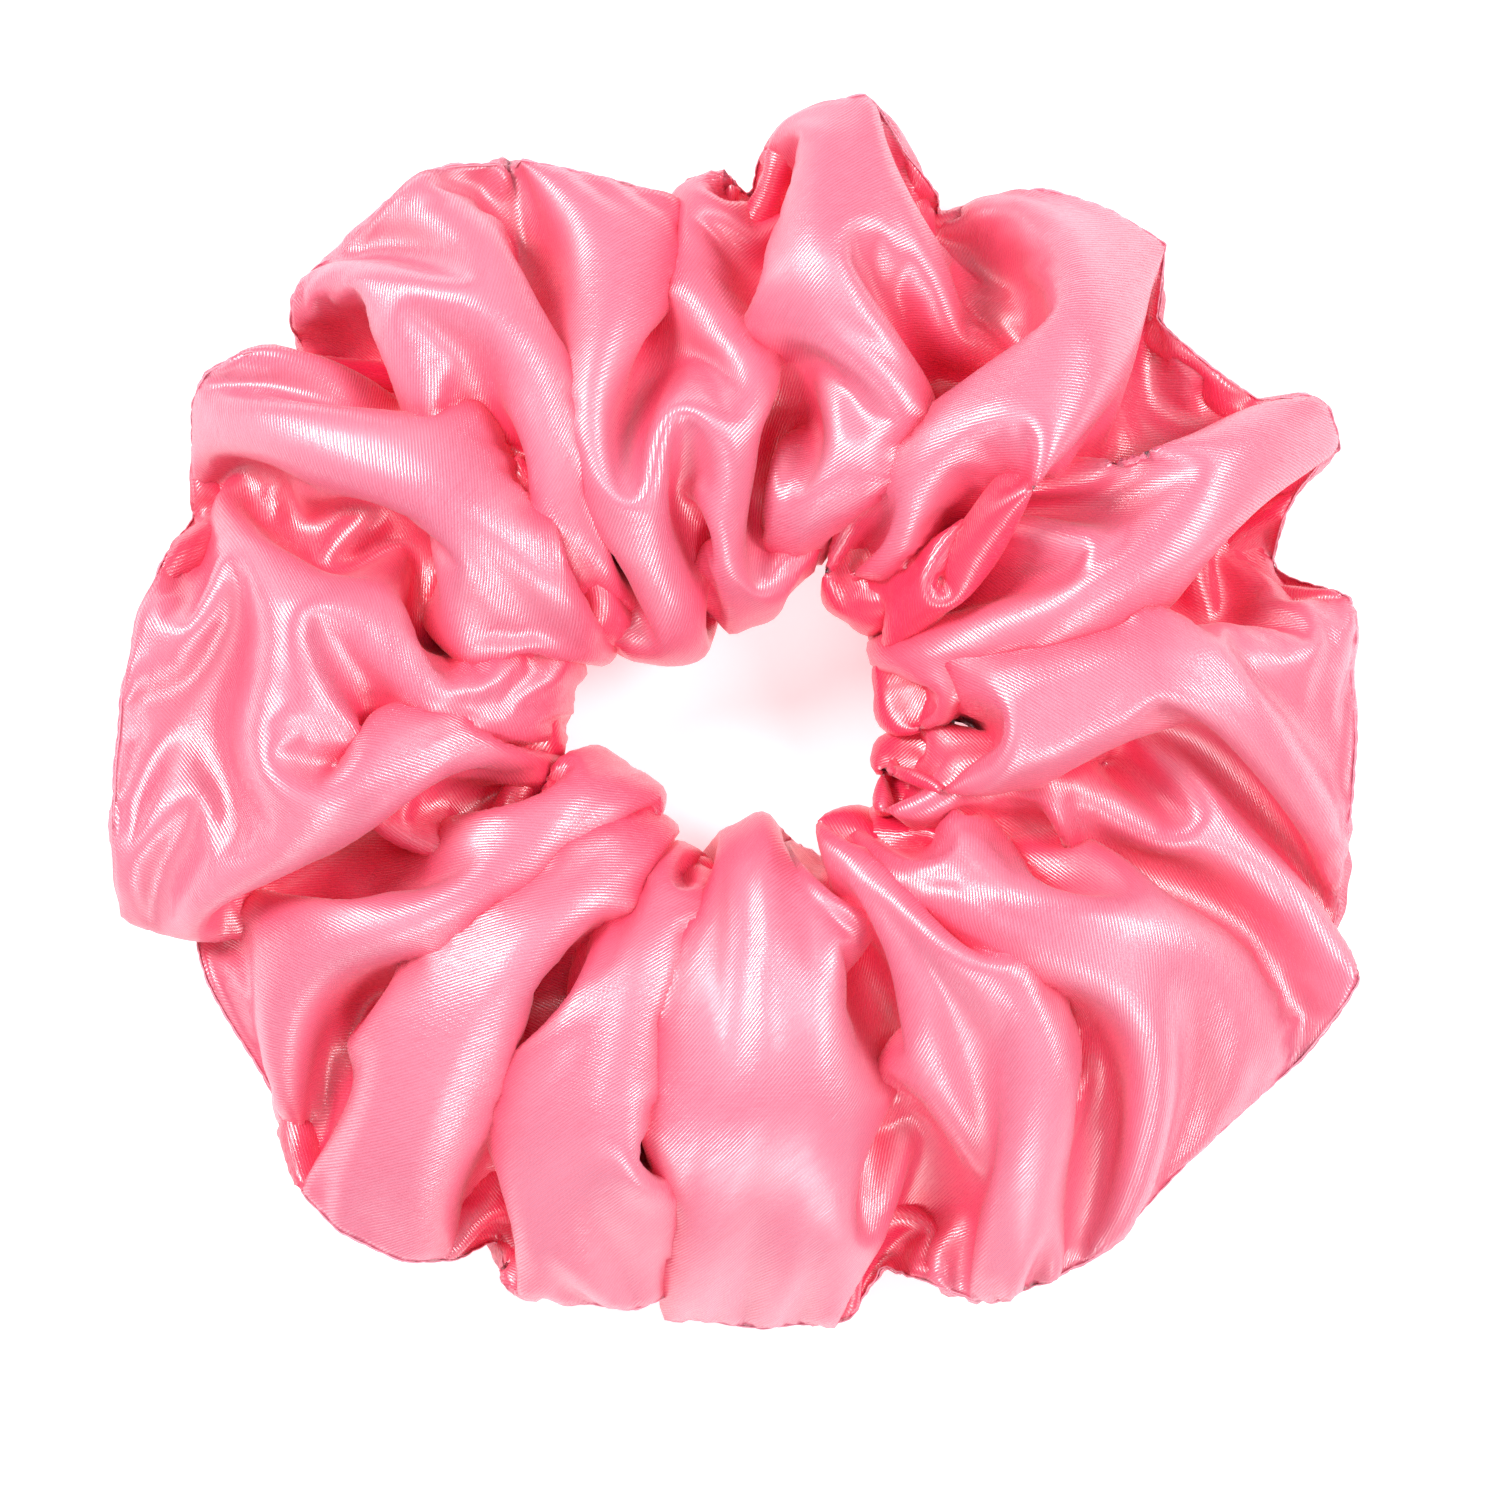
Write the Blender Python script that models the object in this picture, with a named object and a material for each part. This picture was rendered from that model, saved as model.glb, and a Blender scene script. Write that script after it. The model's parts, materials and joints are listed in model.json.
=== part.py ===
"""Oversized satin scrunchie lying flat: a gathered fabric sleeve round a flat elastic ring.

The sleeve is one strip of satin, sewn into a tube along its outer edge (the long seam) and sewn end to
end (the closing seam). The elastic ring is lapped and stitched, and runs loose inside the sleeve.
Metres, +Z up, the table at z = 0, the middle of the outline at x = y = 0.
"""

import math

import bmesh
import bpy
from mathutils import Vector

MM = 0.001

# Outline of the sleeve seen from above, as (angle in degrees from +X, radius in mm).
OUTER_EDGE = [
    (-23, 81.7), (-12, 77.5), (0, 75.0), (10, 75.0), (17, 72.0), (24, 79.9), (31, 72.7), (38, 70.5),
    (46, 76.5), (58, 73.7), (67, 66.5), (77, 75.6), (84, 69.0), (88, 62.6), (94, 60.0), (102, 67.0),
    (108, 71.5), (111.7, 69.0), (118, 73.1), (128, 71.5), (137, 71.0), (140, 64.0), (146, 71.5),
    (152, 72.1), (160, 67.0), (169, 73.5), (179, 74.8), (190, 75.6), (198, 75.3), (202, 68.0),
    (207, 69.0), (216, 70.0), (225, 71.7), (235, 76.5), (240, 76.3), (245, 71.8), (252, 73.0),
    (261, 72.3), (269, 74.0), (280, 74.6), (285, 69.0), (294, 77.2), (305, 78.6), (316, 79.6),
    (327, 79.8),
]
# Outline of the hair hole, the same way.
HAIR_HOLE = [
    (-42, 21.4), (-30, 21.0), (-22, 21.4), (-13, 20.8), (0, 18.8), (17, 15.0), (30, 20.2), (40, 21.6),
    (50, 19.8), (66, 15.8), (79, 9.6), (105, 8.2), (131, 8.4), (151, 13.6), (173, 18.0), (190, 17.4),
    (209, 15.7), (230, 12.2), (243, 14.0), (256, 17.4), (268, 14.0), (281, 11.5), (303, 14.0),
    (313, 17.0),
]
# Each puffed lobe of the sleeve, as (first angle, last angle, crest height in mm).
LOBES = [
    (-23, 14, 33.0), (14, 45, 34.0), (45, 67, 29.0), (67, 89, 27.0), (89, 111.7, 29.0),
    (111.7, 141, 31.0), (141, 161, 30.0), (161, 199, 33.0), (199, 225, 31.0), (225, 247, 29.0),
    (247, 267, 30.0), (267, 291, 34.0), (291, 337, 32.0),
]
VALLEY_HEIGHT = 21.0
SEAM_EDGE_HEIGHT = 12.0
SEAM_EDGE_RISE = 2.5

SECTIONS = 120
CLOSING_ANGLE = 111.7
CLOSING_GAP = 0.8

RIM_LOW = 7.0
RIM_HIGH = 19.5
GROOVE_DEPTH = 1.3
GROOVE_HALF_HEIGHT = 0.8
THREAD_RADIUS = 0.16

ELASTIC_CENTRE = (0.4, -0.2, 13.0)
ELASTIC_RADIUS = 24.9
ELASTIC_THICKNESS = 1.0
ELASTIC_WIDTH = 6.0
ELASTIC_LAP_DEGREES = 27.0
ELASTIC_STEP_OUT = 1.3
ELASTIC_SECTIONS = 96
ELASTIC_START = 30.0

TUNNEL_RADIUS = 25.55
TUNNEL_HALF_WIDTH = 2.1
TUNNEL_HALF_HEIGHT = 4.6


def clear_scene():
    for old in list(bpy.data.objects):
        bpy.data.objects.remove(old, do_unlink=True)


def make_collections():
    parts = bpy.data.collections.new("scrunchie")
    cutters = bpy.data.collections.new("cutters")
    bpy.context.scene.collection.children.link(parts)
    bpy.context.scene.collection.children.link(cutters)
    return parts, cutters


def make_material(name, colour, roughness, sheen=0.0):
    material = bpy.data.materials.new(name)
    material.use_nodes = True
    shader = material.node_tree.nodes["Principled BSDF"]
    shader.inputs["Base Color"].default_value = (*colour, 1.0)
    shader.inputs["Roughness"].default_value = roughness
    shader.inputs["Sheen Weight"].default_value = sheen
    return material


def around(table, angle):
    """The value of a closed (angle, value) table at an angle, in straight steps between its points."""
    first = table[0][0]
    angle = (angle - first) % 360.0 + first
    closed = table + [(first + 360.0, table[0][1])]
    for (low, start), (high, end) in zip(closed, closed[1:]):
        if low <= angle <= high:
            return start + (end - start) * (angle - low) / (high - low)
    return closed[-1][1]


def crest_height(angle):
    """Height of the sleeve's top at an angle: rounded lobes with a valley between each two."""
    first = LOBES[0][0]
    angle = (angle - first) % 360.0 + first
    for low, high, crest in LOBES:
        if low <= angle <= high:
            across = math.sin(math.pi * (angle - low) / (high - low))
            return VALLEY_HEIGHT + (crest - VALLEY_HEIGHT) * across ** 0.7
    return VALLEY_HEIGHT


def seam_edge_height(angle):
    """Height of the outer edge, which rises a little in every lobe."""
    share = (crest_height(angle) - VALLEY_HEIGHT) / 13.0
    return SEAM_EDGE_HEIGHT - SEAM_EDGE_RISE + 2.0 * SEAM_EDGE_RISE * share


def sleeve_section(angle):
    """One cross-section of the sleeve, as (radius, height) in mm: rim, top, seam groove, underside."""
    inner = around(HAIR_HOLE, angle)
    outer = around(OUTER_EDGE, angle)
    crest = crest_height(angle)
    edge = seam_edge_height(angle)
    reach = outer - inner
    lip_high = edge + GROOVE_HALF_HEIGHT
    lip_low = edge - GROOVE_HALF_HEIGHT

    points = [(inner, RIM_LOW), (inner - 0.6, 13.0), (inner, RIM_HIGH)]
    for share, rise in ((0.05, 0.30), (0.14, 0.72), (0.28, 0.96), (0.42, 1.0)):
        points.append((inner + reach * share, RIM_HIGH + (crest - RIM_HIGH) * rise))
    for share, fall in ((0.58, 0.12), (0.72, 0.30), (0.84, 0.52), (0.93, 0.76)):
        points.append((inner + reach * share, crest + (lip_high - crest) * fall))
    points.append((outer - 0.35, lip_high))
    points.append((outer - GROOVE_DEPTH, lip_high))
    points.append((outer - GROOVE_DEPTH, lip_low))
    points.append((outer - 0.35, lip_low))
    for share, height in ((0.93, 3.2), (0.84, 0.0), (0.55, 0.0), (0.28, 0.0), (0.12, 0.0), (0.04, 2.4)):
        points.append((inner + reach * share, height))
    return points


def outline_middle():
    """Middle of the sleeve's outline box, in mm, which becomes x = y = 0."""
    spots = []
    for step in range(SECTIONS):
        angle = CLOSING_ANGLE + 360.0 * step / SECTIONS
        reach = max(radius for radius, _ in sleeve_section(angle))
        turn = math.radians(angle)
        spots.append((reach * math.cos(turn), reach * math.sin(turn)))
    middle_x = (min(x for x, _ in spots) + max(x for x, _ in spots)) / 2.0
    middle_y = (min(y for _, y in spots) + max(y for _, y in spots)) / 2.0
    return middle_x, middle_y


MIDDLE = outline_middle()


def place(radius, angle, height):
    """A point of the sleeve, in metres, from its radius and height in mm and its angle."""
    turn = math.radians(angle)
    x = radius * math.cos(turn) - MIDDLE[0]
    y = radius * math.sin(turn) - MIDDLE[1]
    return Vector((x * MM, y * MM, height * MM))


def elastic_point(radius, angle, height):
    """A point of the elastic's ring, in metres from the ring's centre."""
    turn = math.radians(angle)
    return Vector((radius * math.cos(turn) * MM, radius * math.sin(turn) * MM, height * MM))


def elastic_centre():
    """Middle of the elastic's ring, in metres, which it turns about."""
    return Vector(ELASTIC_CENTRE) * MM


def loft(name, rings, closed_path, collection, material):
    """A solid skinned over rings of points; the path either closes on itself or gets end caps."""
    shape = bmesh.new()
    rows = []
    for ring in rings:
        rows.append([shape.verts.new(point) for point in ring])
    pairs = list(zip(rows, rows[1:]))
    if closed_path:
        pairs.append((rows[-1], rows[0]))
    for row, following in pairs:
        for i in range(len(row)):
            j = (i + 1) % len(row)
            shape.faces.new((row[i], row[j], following[j], following[i]))
    if not closed_path:
        shape.faces.new(rows[0])
        shape.faces.new(rows[-1])
    bmesh.ops.recalc_face_normals(shape, faces=shape.faces)
    mesh = bpy.data.meshes.new(name)
    shape.to_mesh(mesh)
    shape.free()
    mesh.materials.append(material)
    part = bpy.data.objects.new(name, mesh)
    collection.objects.link(part)
    return part


def thread(name, path, collection, material):
    """One sewing thread along a path of points."""
    curve = bpy.data.curves.new(name, "CURVE")
    curve.dimensions = "3D"
    curve.bevel_depth = THREAD_RADIUS * MM
    curve.bevel_resolution = 0
    curve.use_fill_caps = True
    line = curve.splines.new("POLY")
    line.points.add(len(path) - 1)
    for spot, point in zip(line.points, path):
        spot.co = (*point, 1.0)
    curve.materials.append(material)
    part = bpy.data.objects.new(name, curve)
    collection.objects.link(part)
    return part


def cut(part, cutter, name):
    modifier = part.modifiers.new(name, "BOOLEAN")
    modifier.operation = "DIFFERENCE"
    modifier.solver = "EXACT"
    modifier.object = cutter


def hide_cutter(cutter, collection):
    for home in list(cutter.users_collection):
        home.objects.unlink(cutter)
    collection.objects.link(cutter)
    cutter.hide_render = True
    cutter.display_type = "WIRE"


def elastic_tunnel(collection):
    """The oval channel inside the sleeve that the elastic runs in."""
    bpy.ops.mesh.primitive_torus_add(
        major_segments=96,
        minor_segments=12,
        major_radius=TUNNEL_RADIUS * MM,
        minor_radius=TUNNEL_HALF_WIDTH * MM,
        location=elastic_centre(),
    )
    cutter = bpy.context.active_object
    cutter.name = "elastic_tunnel_cutter"
    cutter.scale.z = TUNNEL_HALF_HEIGHT / TUNNEL_HALF_WIDTH
    hide_cutter(cutter, collection)
    return cutter


def closing_slit(collection):
    """The thin gap between the sleeve's two ends, where the closing seam joins them."""
    turn = math.radians(CLOSING_ANGLE)
    middle = place(50.0, CLOSING_ANGLE, 18.0)
    bpy.ops.mesh.primitive_cube_add(size=1.0, location=middle)
    cutter = bpy.context.active_object
    cutter.name = "closing_slit_cutter"
    cutter.rotation_euler.z = turn
    cutter.scale = (0.099, CLOSING_GAP * MM, 0.060)
    hide_cutter(cutter, collection)
    return cutter


def build_sleeve(parts, cutters):
    satin = make_material("satin", (0.86, 0.18, 0.32), 0.35, 0.3)
    rings = []
    for step in range(SECTIONS):
        angle = CLOSING_ANGLE + 360.0 * step / SECTIONS
        rings.append([place(radius, angle, height) for radius, height in sleeve_section(angle)])
    sleeve = loft("satin_sleeve", rings, True, parts, satin)
    cut(sleeve, elastic_tunnel(cutters), "elastic tunnel")
    cut(sleeve, closing_slit(cutters), "closing slit")


def build_long_seam(parts):
    """The two threads of the lockstitched long seam, one above the other in the outer edge's groove."""
    for name, side, colour in (
        ("long_seam_needle_thread", 1.0, (0.80, 0.16, 0.30)),
        ("long_seam_bobbin_thread", -1.0, (0.74, 0.13, 0.26)),
    ):
        path = []
        for step in range(1, SECTIONS):
            angle = CLOSING_ANGLE + 360.0 * step / SECTIONS
            radius = around(OUTER_EDGE, angle) - 0.65
            path.append(place(radius, angle, seam_edge_height(angle) + side * 0.3))
        thread(name, path, parts, make_material(name, colour, 0.55))


def build_closing_seam(parts):
    """The closing seam's two threads, in the slit just under the sleeve's top and its underside."""
    section = sleeve_section(CLOSING_ANGLE)
    top = [(radius, height - 1.6) for radius, height in section[3:10]]
    under = [(radius, height + 1.2) for radius, height in section[16:20]]
    for name, line, colour in (
        ("closing_seam_needle_thread", top, (0.80, 0.16, 0.30)),
        ("closing_seam_bobbin_thread", under, (0.74, 0.13, 0.26)),
    ):
        path = [place(radius, CLOSING_ANGLE, height) for radius, height in line]
        thread(name, path, parts, make_material(name, colour, 0.55))


def build_elastic(parts):
    """The flat elastic, standing on edge: one turn and a short lap, stepping out past its own start."""
    braid = make_material("white_braided_elastic", (0.82, 0.80, 0.77), 0.8)
    half_thickness = ELASTIC_THICKNESS / 2.0
    half_width = ELASTIC_WIDTH / 2.0
    rings = []
    for step in range(ELASTIC_SECTIONS + 1):
        turned = (360.0 + ELASTIC_LAP_DEGREES) * step / ELASTIC_SECTIONS
        radius = ELASTIC_RADIUS + ELASTIC_STEP_OUT * turned / 360.0
        angle = ELASTIC_START + turned
        corners = []
        for out, up in ((-1, -1), (1, -1), (1, 1), (-1, 1)):
            corners.append(elastic_point(radius + out * half_thickness, angle, up * half_width))
        rings.append(corners)
    band = loft("elastic_band", rings, False, parts, braid)
    band.location = elastic_centre()


def build_elastic_join(parts):
    """The zigzag that sews the elastic's lap, with one thread on its outer face and one on its inner."""
    step_across_lap = ELASTIC_STEP_OUT * (1.0 + ELASTIC_LAP_DEGREES / 360.0)
    outside = ELASTIC_RADIUS + step_across_lap + ELASTIC_THICKNESS / 2.0 + THREAD_RADIUS + 0.04
    inside = ELASTIC_RADIUS - ELASTIC_THICKNESS / 2.0 - THREAD_RADIUS - 0.04
    for name, radius, colour in (
        ("elastic_join_needle_thread", outside, (0.84, 0.82, 0.80)),
        ("elastic_join_bobbin_thread", inside, (0.76, 0.75, 0.74)),
    ):
        path = []
        for stitch in range(13):
            angle = ELASTIC_START + ELASTIC_LAP_DEGREES * (0.14 + 0.72 * stitch / 12.0)
            height = 2.1 if stitch % 2 else -2.1
            path.append(elastic_point(radius, angle, height))
        part = thread(name, path, parts, make_material(name, colour, 0.6))
        part.location = elastic_centre()


clear_scene()
PARTS, CUTTERS = make_collections()
build_sleeve(PARTS, CUTTERS)
build_long_seam(PARTS)
build_closing_seam(PARTS)
build_elastic(PARTS)
build_elastic_join(PARTS)
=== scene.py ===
"""Satin scrunchie: the visual model, built around the CAD part's frame.

The sleeve is a tube of satin. It starts from a drawn layout of lobes and valleys, and a small cloth
solver then settles it round the elastic and onto the table. Lengths are in millimetres unless a name
says otherwise, and go to metres when a mesh is made.
"""

import json
import math
from collections import namedtuple

import bpy
import numpy as np
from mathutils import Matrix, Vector
from mathutils.bvhtree import BVHTree


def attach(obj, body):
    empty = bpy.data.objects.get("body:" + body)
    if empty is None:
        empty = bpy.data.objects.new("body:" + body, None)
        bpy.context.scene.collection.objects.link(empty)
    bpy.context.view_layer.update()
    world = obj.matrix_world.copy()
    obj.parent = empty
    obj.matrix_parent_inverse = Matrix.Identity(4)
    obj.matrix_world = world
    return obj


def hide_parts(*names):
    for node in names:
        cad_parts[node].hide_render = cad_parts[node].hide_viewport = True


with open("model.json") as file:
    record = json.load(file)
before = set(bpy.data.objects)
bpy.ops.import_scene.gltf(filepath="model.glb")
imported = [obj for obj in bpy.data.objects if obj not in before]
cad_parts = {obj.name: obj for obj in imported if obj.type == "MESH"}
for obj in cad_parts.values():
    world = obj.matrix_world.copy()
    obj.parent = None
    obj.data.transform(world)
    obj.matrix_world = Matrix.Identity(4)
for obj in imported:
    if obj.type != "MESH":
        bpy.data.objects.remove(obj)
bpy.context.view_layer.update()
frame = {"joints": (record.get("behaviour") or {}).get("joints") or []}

MM = 0.001

# ---------------------------------------------------------------- the sleeve's layout

# Width of the satin, which is the tube's girth.
GIRTH = 136.0
# Share of the satin below that is used, and how much more of a lobe's satin lies in its crest.
FULLNESS = 0.94
SWELL = 0.9

# The lobes, anticlockwise from the closing seam. Each has:
#   a name;
#   the angles of the valley before it, halfway out and at the pinch by the hair hole;
#   how deep that valley is, from 0, level with the crests, to 1;
#   the length of satin it takes up;
#   how high its crest stands, as a share of the standard crest;
#   how far its crest leans over, in degrees;
#   the path of its part of the seam edge, as (x, y, z).
Lobe = namedtuple("Lobe", "name halfway pinch depth satin lift lean edge")
LOBES = [Lobe(*lobe) for lobe in (
    ("A1", 120.7, 144, 1.0, 30, 0.95, 0, [(-25.7, 63.7, 11), (-26.7, 64.9, 13), (-34.7, 64, 16),
                                          (-40.2, 60.2, 17)]),
    ("A2", 129, 147, 0.8, 22, 0.8, 0, [(-46.7, 52.9, 14), (-51.8, 48.7, 16), (-52.2, 45.4, 14),
                                        (-49.7, 42.2, 9)]),
    ("B", 133, 152, 1.0, 46, 1.05, 0, [(-46.1, 41.5, 7), (-51.4, 40.6, 18), (-56.8, 41.7, 22),
                                       (-61.8, 39.9, 18), (-63.5, 36.6, 13), (-63.2, 29.5, 9)]),
    ("C1", 157.6, 172, 1.0, 31, 1.0, 0, [(-63.2, 23, 8), (-66.8, 17.7, 17), (-69.7, 8.3, 20)]),
    ("C2", 181, 184, 0.3, 29, 0.95, 0, [(-71.3, 1.2, 21), (-72, -8.3, 21), (-72.1, -16.5, 19)]),
    ("D1", 199, 196, 1.0, 16, 0.5, 0, [(-71.6, -23.4, 14), (-68, -23, 9)]),
    ("D2", 206, 207, 0.6, 36, 0.9, 0, [(-62.7, -23, 6), (-63, -28.3, 12), (-61.7, -32.4, 14),
                                        (-54.8, -43.7, 13)]),
    ("E", 217.5, 232, 0.9, 42, 1.05, 2, [(-50.3, -51.1, 7), (-49.9, -57.8, 14), (-46.1, -62.3, 16),
                                        (-38.5, -65.8, 15), (-31.4, -65.1, 12)]),
    ("F", 239, 248, 0.78, 48, 1.05, 4, [(-27, -63.1, 7), (-26.7, -68.1, 13), (-19.6, -69.9, 15),
                                       (-10.7, -71.4, 14), (-3.7, -68.1, 11)]),
    ("H", 257, 251, 0.62, 52, 1.2, -5, [(1.7, -62.5, 7), (-6.8, -72.2, 7), (4, -73.9, 8), (15, -72.6, 9)]),
    ("I1", 299, 313, 1.0, 20, 0.7, 0, [(18.4, -66.1, 8), (24.1, -68.2, 12)]),
    ("I2", 308, 316, 0.5, 22, 0.8, 0, [(31.2, -70.6, 13), (38.2, -67.8, 14)]),
    ("I3", 318.5, 319, 0.5, 46, 1.05, 0, [(44.7, -64.7, 12), (54.8, -53.7, 12), (68.3, -41.3, 13)]),
    ("J1", 342, 334, 1.0, 18, 0.6, 0, [(75.2, -32.1, 17), (71.9, -28.3, 9)]),
    ("J2", 350, 342, 0.7, 52, 1.0, 0, [(73, -21.2, 8), (74.2, -10.6, 14), (74.6, -3.5, 16),
                                       (73.6, 8.3, 16), (74, 13.6, 17), (67.7, 15.6, 10)]),
    ("K1", 372.7, 368, 1.0, 37, 0.95, 0, [(64.8, 17.1, 6), (66, 22.4, 12), (68.1, 26, 14),
                                          (73, 32.4, 12), (71.9, 36, 16), (67.7, 37.4, 17)]),
    ("K2", 391, 390, 0.22, 58, 1.1, 0, [(63.2, 36.6, 13), (57.1, 40.7, 17), (50.6, 46.3, 16),
                                       (52.6, 55.5, 13), (45.3, 59.6, 14), (37.1, 62.2, 13),
                                       (30, 60.2, 9)]),
    ("M", 413.5, 402, 1.0, 48, 0.95, 0, [(25.3, 58.4, 7), (25.6, 60.8, 14), (21.1, 66.1, 18),
                                         (16.4, 73.5, 18), (12.9, 72, 18), (7.6, 69, 16), (3.4, 64.9, 12)]),
    ("N2", 445.4, 428, 1.0, 22, 0.7, 0, [(2.6, 61.4, 7), (1.1, 62.8, 11), (-3.1, 62.8, 10)]),
    ("N1", 459, 462, 0.7, 34, 0.9, 0, [(-4.2, 59.6, 6), (-3.1, 59.8, 11), (-7.4, 61.2, 14),
                                       (-16, 63.7, 15), (-24.5, 65.8, 14)]),
)]
# Outline of the hair hole, as (angle, radius).
HAIR_HOLE = [
    (-41, 22.4), (-30, 20.5), (-22, 21.9), (-13, 21.0), (0, 18.8), (8, 20.5), (18, 14.7), (30, 21.0),
    (42, 22.4), (50, 20.0), (66, 15.8), (79, 9.2), (105, 8.4), (131, 7.8), (146, 14.3), (152, 13.6),
    (173, 18.2), (190, 18.5), (196, 21.0), (209, 15.7), (230, 12.2), (243, 14.0), (256, 17.8),
    (268, 13.5), (281, 11.5), (303, 14.0), (312, 17.0),
]
# The cloth settles towards an even hole, so it is drawn with a hole that is less even.
HOLE_MIDDLE = 16.0
HOLE_STRETCH = 1.8
# Radius at which the valleys reach the elastic.
PINCH_RADIUS = 21.8
# Heights of the sleeve's two sheets from the hair hole (0) to the seam edge (1), along a valley and
# along a crest. The last step to the seam edge follows the edge's own height.
VALLEY_TOP = [(0, 13), (0.03, 17), (0.06, 18.5), (0.12, 19.5), (0.5, 18), (0.8, 13), (1, 7)]
VALLEY_UNDER = [(0, 12.6), (0.03, 9.5), (0.06, 8.3), (0.12, 7.5), (0.5, 4), (0.8, 4.5), (1, 7)]
CREST_TOP = [(0, 13.5), (0.05, 19), (0.13, 24), (0.25, 28.5), (0.4, 32), (0.6, 32), (0.78, 27),
             (0.9, 20), (1, 14)]
CREST_UNDER = [(0, 12), (0.04, 6), (0.1, 2), (0.2, 0.8), (0.4, 0.8), (0.6, 1.2), (0.8, 3.5), (0.92, 8),
               (1, 14)]

# How far a lobe wavers to the sides, in degrees, and how deep the dents across it are. Both come in
# waves from the hair hole to the seam edge, each lobe's out of step with the last one's.
WAVER = 7.0
WAVER_WAVES = 1.3
WAVER_SHIFT = 0.61
CRUMPLE = 4.5
CRUMPLE_WAVES = 2.6
CRUMPLE_SHIFT = 0.37
CRUMPLE_SLANT = 0.8

# Creases in the satin: how far apart along it, how high at the hair hole and further out, how far out
# from the hole the high ones reach, and how far they sway as they go out, in radians a millimetre.
CREASE_PITCHES = (6.6, 10.4, 15.2)
CREASE_HEIGHT = 0.95
CREASE_FAR_HEIGHT = 0.2
CREASE_REACH = 30.0
CREASE_SWAY = 0.035

# The elastic's ring, and how near the cloth comes to the middle of its section.
RING_CENTRE = [part / MM for part in frame["joints"][0]["pos_m"]]
RING_RADIUS = 25.5
RING_CLEARANCE = 3.4

# The coarse grid of cloth, along the tube and round it, and the solver's steps on it and on finer ones.
ALONG = 180
AROUND = 36
COARSE_STEPS = 160
FINER_STEPS = (60, 20)

# The solver: seconds a step, fall and pressure in mm/s2, the share of speed kept, and top speed in
# steps of the grid per tick.
TICK = 1.0 / 400.0
GRAVITY = 1500.0
PRESSURE = 600.0
SPEED_KEPT = 0.985
TOP_SPEED = 0.35
# How hard the cloth holds its lengths: (rows apart, columns apart, stiffness).
STIFFNESS = ((1, 0, 0.95), (0, 1, 0.95), (1, 1, 0.35), (1, -1, 0.35), (2, 0, 0.10), (0, 2, 0.10),
             (4, 0, 0.03), (0, 4, 0.03))
STIFFNESS_ROUNDS = 2
# How thick the cloth is to itself, as a share of the grid's step, how hard it pushes apart, and how
# many steps go by from one search for close points to the next.
THICKNESS = 0.86
PUSH = 0.7
STEPS_PER_SEARCH = 6
# How hard the cloth is held to its drawn shape: anywhere, at the seam edge, and at the hair hole, out
# to a share of the way to the seam edge.
HOLD = 0.03
RIM_HOLD = 0.5
PINCH_HOLD = 0.12
PINCH_SHARE = 0.2
# The cloth's lowest height, and how much of a step it slides along the table.
TABLE_GAP = 0.4
TABLE_SLIDE = 0.6


def look_up(table, place):
    """The value of a (place, value) table at each place."""
    points = np.array(table, float)
    return np.interp(place, points[:, 0], points[:, 1])


def look_up_angle(table, angle):
    """The value of a closed (angle, value) table at each angle."""
    points = np.array(table, float)
    first = points[0, 0]
    closed = np.vstack([points, [first + 360.0, points[0, 1]]])
    return np.interp((angle - first) % 360.0 + first, closed[:, 0], closed[:, 1])


def seam_edge():
    """Points of the seam edge with the length of satin sewn up to each, and each lobe's first length."""
    points = []
    lengths = []
    starts = []
    sewn = 0.0
    for number, lobe in enumerate(LOBES):
        satin = lobe.satin * FULLNESS
        following = LOBES[(number + 1) % len(LOBES)].edge[0]
        corners = np.array(lobe.edge + [following], float)
        steps = np.linalg.norm(np.diff(corners, axis=0), axis=1)
        along = np.concatenate([[0.0], np.cumsum(steps)]) / steps.sum()
        starts.append(sewn)
        for corner, share in zip(corners[:-1], along[:-1]):
            points.append(corner)
            lengths.append(sewn + satin * share)
        sewn += satin
    points.append(np.array(LOBES[0].edge[0], float))
    lengths.append(sewn)
    return np.array(points), np.array(lengths), np.array(starts), sewn


def drawn_rim(rows):
    """The seam edge as drawn, at each row of a grid of cloth."""
    edge, lengths, _, satin = seam_edge()
    place = np.arange(rows) * satin / rows
    return np.stack([np.interp(place, lengths, edge[:, axis]) for axis in range(3)], axis=1)


def smoothed(values, axis=0):
    """Each value averaged with its two neighbours, round a closed axis."""
    return 0.25 * np.roll(values, 1, axis) + 0.5 * values + 0.25 * np.roll(values, -1, axis)


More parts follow.
